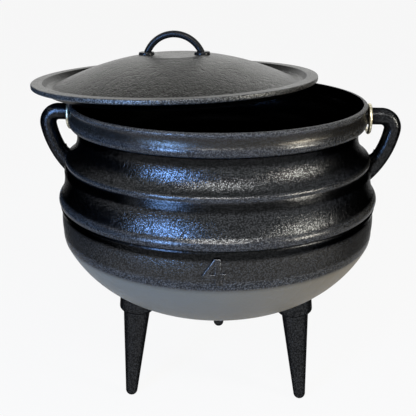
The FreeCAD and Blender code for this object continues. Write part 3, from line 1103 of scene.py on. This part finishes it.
@dataclass
class Lid:
    """The lid with its handle, lying ajar on the rim. Sizes in millimetres."""

    overhang: float = 1.0
    wall: float = 4.7
    brim_w: float = 11.0
    brim_round: float = 1.2
    gutter_depth: float = 5.6
    gutter_w: float = 5.5
    gutter_slope_w: float = 3.0
    dome_rise: float = 25.5
    dome_bulge: float = 3.4
    plateau_r: float = 34.5
    plateau_step: float = 0.5
    seat_rib_depth: float = 13.2
    seat_rib_w: float = 4.0
    loop_r: float = 28.8
    loop_rod_r: float = 3.2
    loop_rise: float = 22.0
    loop_turn: float = -5.4
    boss_r: float = 8.2
    boss_h: float = 2.6
    boss_taper: float = 1.0
    slide: float = 58.6
    slide_towards: float = 137.8
    tip: float = 2.0
    seat_gap: float = 0.3
    segments: int = 288
    unevenness: float = 0.1
    wave_length: float = 40.0

    def plate(self, pot: Pot) -> Outline:
        """Draws the half section of the level lid, with the top of its brim at height 0.

        Args:
            pot: The pot that it fits.

        Returns:
            The outline.
        """
        lid_r = pot.lip_r + self.overhang
        gutter_out = lid_r - self.brim_w
        gutter_in = gutter_out - self.gutter_slope_w - self.gutter_w
        gutter_edge = gutter_in + self.gutter_w
        dome_top = self.dome_rise - self.gutter_depth
        plateau = dome_top + self.plateau_step
        rib_out = gutter_in - self.gutter_slope_w
        rib_in = rib_out - self.seat_rib_w
        rounding = self.brim_round
        outline = Outline(plateau, Skin.GRAINY)
        # The smooth step and gutter get a darker coat, painted shade; the rim's ridge gets a light colour, partly
        # wear and partly a painted highlight.
        for step, skin, *stops in (
                (2.0, Skin.GRAINY, (self.plateau_r - 3 * self.plateau_step, plateau)),
                (0.8, Skin.SMOOTH, (self.plateau_r, dome_top)),
                (2.0, Skin.GRAINY, (gutter_in, -self.gutter_depth, self.dome_bulge)),
                (1.2, Skin.SMOOTH, (gutter_edge, -self.gutter_depth), (gutter_out, -rounding)),
                (0.5, Skin.SMOOTH, (gutter_out + rounding, 0.0, QUARTER_BULGE * rounding)),
                (1.2, Skin.GRAINY, (lid_r - rounding, 0.0)),
                (0.5, Skin.RIDGE, (lid_r, -rounding, QUARTER_BULGE * rounding), (lid_r, rounding - self.wall),
                 (lid_r - rounding, -self.wall, QUARTER_BULGE * rounding)),
                (2.0, Skin.INSIDE, (gutter_out + rounding, -self.wall), (gutter_edge, -self.gutter_depth - self.wall),
                 (rib_out, -self.seat_rib_depth), (rib_in, -self.seat_rib_depth),
                 (rib_in - self.gutter_slope_w, -self.gutter_depth - self.wall / 2)),
                (4.0, Skin.INSIDE, (self.plateau_r, dome_top - self.wall, -self.dome_bulge),
                 (0.0, dome_top - self.wall))):
            outline.draw(step, skin, *stops)
        return outline.softened(1)

    def handle(self, shop: Workshop) -> list[Object]:
        """Builds the bowed rod and its two bosses, standing on height 0.

        Args:
            shop: The trees and finishes.

        Returns:
            The rod and the bosses.
        """
        top = self.loop_rise - self.loop_rod_r
        centre = Vector((0, 0, top - self.loop_r))
        foot = math.degrees(math.asin(-centre.z / self.loop_r))
        path = arc_points(centre, OUT, UP, self.loop_r, foot, 180 - foot, step=1.4)
        rod = grow(shop.rod, path_piece("loop_path", path), "loop", radius=self.loop_rod_r * MM, sides=ROD_SIDES,
                   finish=shop.lid_iron, **Skin.LOOP.inputs())
        outline = Outline(self.boss_h, Skin.LOOP)
        outline.draw(0.8, Skin.LOOP, (self.boss_r - self.boss_taper, self.boss_h),
                     (self.boss_r - self.boss_taper / 2, 0.0), (self.boss_r, -self.boss_h), (0.0, -self.boss_h))
        boss = grow(shop.lathe, outline.softened(2).piece("boss_outline"), "boss", segments=48, unevenness=0.0,
                    wave_length=10 * MM, seed=5.0, finish=shop.lid_iron)
        boss.data.transform(Matrix.Translation(path[0] * MM))
        bosses = grow(shop.round, boss, "bosses", count=2, first_turn=0.0, finish=shop.lid_iron)
        return [rod, bosses]

    def lying(self, pot: Pot) -> Matrix:
        """Works out where the lid lies: slid aside and tipped, with its rib on the pot's rim.

        Args:
            pot: The pot that it lies on.

        Returns:
            The move from its level place to where it lies.
        """
        tip = math.radians(self.tip)
        lid_r = pot.lip_r + self.overhang
        rib_r = lid_r - self.brim_w - 2 * self.gutter_slope_w - self.gutter_w - self.seat_rib_w / 2
        rim_r = pot.mouth_r + pot.lip_w / 2
        crossing = (self.slide**2 + rim_r**2 - rib_r**2) / (2 * self.slide)
        fall = (crossing - self.slide) * math.tan(tip)
        height = pot.rim_z + self.seat_gap + self.seat_rib_depth / math.cos(tip) + fall
        towards = Matrix.Rotation(math.radians(self.slide_towards), 4, "Z")
        tipped = towards @ Matrix.Rotation(tip, 4, "Y") @ towards.inverted()
        spot = towards @ Vector((self.slide, 0.0, 0.0)) + Vector((0, 0, height))
        return Matrix.Translation(spot * MM) @ tipped

    def build(self, shop: Workshop, pot: Pot) -> None:
        """Builds, places and dresses the lid.

        Args:
            shop: The trees and finishes.
            pot: The pot that it lies on.
        """
        plate = grow(shop.lathe, self.plate(pot).piece("lid_outline"), "lid_casting", segments=self.segments,
                     unevenness=self.unevenness * MM, wave_length=self.wave_length * MM, seed=4.0,
                     finish=shop.lid_iron)
        raised = Vector((0, 0, self.dome_rise - self.gutter_depth + self.plateau_step)) * MM
        lift = Matrix.Translation(raised) @ Matrix.Rotation(math.radians(self.loop_turn), 4, "Z")
        handle = self.handle(shop)
        for part in handle:
            part.data.transform(lift)
        casting = weld(plate, handle, Turn.JOIN)
        casting.data.transform(self.lying(pot))
        finish_piece(casting, POT_BODY, "lid")


@dataclass
class Bail:
    """The wire bow with an open eye round each ear. Sizes in millimetres."""

    wire_r: float = 1.7
    eye_r: float = 12.3
    eye_turn: float = 306.0
    eye_top_gap: float = 0.4
    collar_gap: float = 0.4
    arm: float = 30.0
    arm_shares: Pair = (0.33, 0.66)
    lift: float = 3.0
    sides: int = 24

    def path(self, reach: float) -> list[Vector]:
        """The wire's middle line, level and with the hinge at the origin.

        Args:
            reach: How far each eye is from the middle.

        Returns:
            The points from one open end to the other.
        """
        eye = Vector((reach, 0, 0))
        bow_centre = Vector((0, self.arm, -self.eye_r))
        points = arc_points(eye, -UP, BACK, self.eye_r, -self.eye_turn, 0, step=0.8)
        points += [eye + Vector((0, self.arm * share, -self.eye_r)) for share in self.arm_shares]
        points += arc_points(bow_centre, OUT, BACK, reach, 0, 90, step=2.5)
        mirrored = [Vector((-point.x, point.y, point.z)) for point in points[-2::-1]]
        return points + mirrored

    def build(self, shop: Workshop, pot: Pot) -> None:
        """Builds the bail, places it and dresses it.

        Args:
            shop: The trees and finishes.
            pot: The pot that it hangs on.
        """
        reach = pot.collar_bead_r + self.collar_gap + self.wire_r
        hinge_z = pot.ear_z + pot.ear_bar_r + self.eye_top_gap - (self.eye_r - self.wire_r)
        wire = grow(shop.rod, path_piece("bail_path", self.path(reach)), "bail_wire", radius=self.wire_r * MM,
                    sides=self.sides, finish=shop.wire, **Skin.GRAINY.inputs())
        lift = Matrix.Rotation(math.radians(self.lift), 4, "X")
        wire.data.transform(Matrix.Translation((0, 0, hinge_z * MM)) @ lift)
        finish_piece(wire, BAIL_BODY, "bail_handle", sharp=50.0)


def aim(holder: Object, spot: Vector, ahead: Vector) -> None:
    """Sets a lamp or a camera in its place.

    Args:
        holder: The lamp or camera.
        spot: Where it stands.
        ahead: The way it looks.
    """
    holder.location = spot
    holder.rotation_mode = "QUATERNION"
    holder.rotation_quaternion = ahead.to_track_quat("-Z", "Y")


def sheet(name: str, ring: list[Triple], finish: Material) -> Object:
    """Puts a flat sheet with four corners in the scene.

    Args:
        name: The sheet's name.
        ring: Its corners in order, in metres.
        finish: Its material.

    Returns:
        The sheet.
    """
    mesh = bpy.data.meshes.new(name)
    mesh.from_pydata(ring, [], [(0, 1, 2, 3)])
    mesh.materials.append(finish)
    return add_object(name, mesh)


@dataclass(frozen=True)
class Lamp:
    """A soft square lamp that looks at the pot.

    Args:
        name: The lamp's name.
        azimuth: Where it stands, in degrees to the right of the way the camera looks from.
        elevation: How high it stands, in degrees.
        distance: How far it stands from the pot's middle, in metres.
        size: Its width and height, in metres.
        power: Its power, in watts.
        colour: Its colour.
    """

    name: str
    azimuth: float
    elevation: float
    distance: float
    size: Pair
    power: float
    colour: Triple

    def hang(self, middle: Vector) -> None:
        """Puts the lamp in the scene.

        Args:
            middle: The pot's middle, which it looks at.
        """
        lamp = bpy.data.lights.new(self.name, "AREA")
        lamp.shape = "RECTANGLE"
        lamp.size, lamp.size_y = self.size
        lamp.energy = self.power
        lamp.color = self.colour
        holder = add_object(self.name, lamp)
        turn, rise = math.radians(self.azimuth), math.radians(self.elevation)
        away = Vector((math.sin(turn) * math.cos(rise), -math.cos(turn) * math.cos(rise), math.sin(rise)))
        aim(holder, middle + away * self.distance, -away)
        holder.visible_camera = False


@dataclass(frozen=True)
class Card:
    """A black card beside the pot, which only gloss can see. Metres.

    Args:
        name: The card's name.
        across: How far it stands to the right of the pot's axis.
        front: Its front edge, along Y.
        back: Its back edge, along Y.
        foot: Its lower edge.
        top: Its upper edge.
        black: Its colour.
    """

    name: str
    across: float
    front: float
    back: float
    foot: float
    top: float
    black: Triple = (0.01, 0.01, 0.01)

    def stand(self) -> None:
        """Puts the card in the scene."""
        finish, tree = new_material(self.name)
        black = place(tree, "ShaderNodeBsdfDiffuse", {"Color": (*self.black, 1.0)})
        place(tree, "ShaderNodeOutputMaterial", {"Surface": black.outputs[0]})
        card = sheet(self.name, [(self.across, self.front, self.foot), (self.across, self.back, self.foot),
                                 (self.across, self.back, self.top), (self.across, self.front, self.top)], finish)
        card.visible_camera = False
        card.visible_diffuse = False
        card.visible_shadow = False
        card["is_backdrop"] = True


@dataclass
class Studio:
    """The pale floor, the even light round it, the lamps and the camera. Metres and degrees."""

    pale: Triple = (0.948, 0.948, 0.948)
    floor_size: float = 60.0
    floor_own_light: float = 0.97
    room_light: float = 0.20
    eye: Triple = (0.0411, -0.6539, 0.4100)
    yaw: float = -4.36
    pitch: float = 19.50
    lens: float = 62.73
    sensor: float = 36.0
    lamps: tuple[Lamp, ...] = (
        Lamp("cool_left", -30.0, 15.0, 1.3, (0.36, 0.75), 25.0, (0.24, 0.48, 1.0)),
        Lamp("warm_right", 64.0, 17.0, 1.3, (0.28, 0.5), 12.0, (1.0, 0.94, 0.80)),
        Lamp("front_high", 6.0, 46.0, 1.3, (0.7, 0.2), 9.0, (1.0, 0.97, 0.92)),
        Lamp("behind", 180.0, 24.0, 1.7, (2.0, 0.45), 3.0, (1.0, 1.0, 0.96)),
    )
    cards: tuple[Card, ...] = (
        Card("left_card", -0.50, -0.38, 0.65, 0.085, 0.5),
        Card("right_card", 0.48, -0.14, 0.65, 0.085, 0.5),
    )

    def seen_ray(self, tree: NodeTree) -> NodeSocket:
        """Builds a mask of the rays that show the background: the camera's, and those in gloss and glass.

        Args:
            tree: The tree to add to.

        Returns:
            The mask's socket.
        """
        ray = place(tree, "ShaderNodeLightPath").outputs
        shown = compute(tree, "MAXIMUM", ray["Is Camera Ray"], ray["Is Glossy Ray"])
        return compute(tree, "MAXIMUM", shown, ray["Is Transmission Ray"])

    def room(self) -> None:
        """Sets the even light of the room."""
        world = bpy.data.worlds.new("room")
        bpy.context.scene.world = world
        world.use_nodes = True
        tree = world.node_tree
        tree.nodes.clear()
        light = place(tree, "ShaderNodeBackground", {"Color": (*self.pale, 1.0), "Strength": self.room_light})
        seen = place(tree, "ShaderNodeBackground", {"Color": (*self.pale, 1.0), "Strength": 1.0})
        both = place(tree, "ShaderNodeMixShader",
                     {0: self.seen_ray(tree), 1: light.outputs[0], 2: seen.outputs[0]})
        place(tree, "ShaderNodeOutputWorld", {"Surface": both.outputs[0]})

    def floor(self) -> None:
        """Lays the pale floor, which keeps the pot's soft shadow."""
        finish, tree = new_material("floor_paper")
        paper = place(tree, "ShaderNodeBsdfDiffuse", {"Color": (*self.pale, 1.0)})
        glow = place(tree, "ShaderNodeEmission", {"Color": (*self.pale, 1.0), "Strength": 1.0})
        share = compute(tree, "MULTIPLY", self.seen_ray(tree), self.floor_own_light)
        both = place(tree, "ShaderNodeMixShader", {0: share, 1: paper.outputs[0], 2: glow.outputs[0]})
        place(tree, "ShaderNodeOutputMaterial", {"Surface": both.outputs[0]})
        half = self.floor_size / 2
        floor = sheet("floor", [(-half, -half, 0), (half, -half, 0), (half, half, 0), (-half, half, 0)], finish)
        floor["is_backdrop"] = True

    def camera(self) -> None:
        """Sets the camera where the photograph was taken from."""
        lens = bpy.data.cameras.new("camera")
        lens.lens = self.lens
        lens.sensor_width = self.sensor
        holder = add_object("camera", lens)
        yaw, pitch = math.radians(self.yaw), math.radians(self.pitch)
        ahead = Vector((math.sin(yaw) * math.cos(pitch), math.cos(yaw) * math.cos(pitch), -math.sin(pitch)))
        aim(holder, Vector(self.eye), ahead)
        bpy.context.scene.camera = holder

    def build(self, middle: Vector) -> None:
        """Sets the whole studio.

        Args:
            middle: The pot's middle, which the lamps look at.
        """
        bpy.context.scene.view_settings.view_transform = "Standard"
        self.room()
        self.floor()
        for lamp in self.lamps:
            lamp.hang(middle)
        for card in self.cards:
            card.stand()
        self.camera()


def main() -> None:
    """Builds the studio and every piece, with the lamps aimed at the middle of the CAD parts' box."""
    logging.basicConfig(level=logging.INFO, format="%(name)s: %(message)s")
    solid_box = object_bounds()
    Studio().build((solid_box[0] + solid_box[1]) / 2)
    sand = SandPrint().group()
    pot_iron = IronFinish("pot_iron", crown=(0.070, 0.073, 0.078), worn_and_highlight=(0.20, 0.20, 0.20),
                          pocket_and_shade=(0.003, 0.003, 0.003), bare=(0.118, 0.104, 0.079), gloss=0.22, dull=0.55,
                          shine=0.35, edge=0.03, grain_size=0.95 * MM, grain_depth=0.20 * MM)
    lid_iron = IronFinish("lid_iron", crown=(0.067, 0.067, 0.061), worn_and_highlight=(0.30, 0.30, 0.29),
                          pocket_and_shade=(0.001, 0.001, 0.001), bare=(0.007, 0.007, 0.007), gloss=0.36, dull=0.22,
                          shine=0.10, edge=1.0, grain_size=1.1 * MM, grain_depth=0.42 * MM)
    wire = WireFinish("bail_wire", zinc=(0.80, 0.76, 0.60), dark=(0.42, 0.38, 0.26), roughness=(0.28, 0.43))
    shop = Workshop(lathe_tree(), rod_tree(), round_tree(), pot_iron.material(sand), lid_iron.material(sand),
                    wire.material(sand))
    pot = Pot()
    pot.build(shop)
    SizeDigit().build(shop, pot)
    Lid().build(shop, pot)
    Bail().build(shop, pot)


if __name__ == "__main__":
    main()
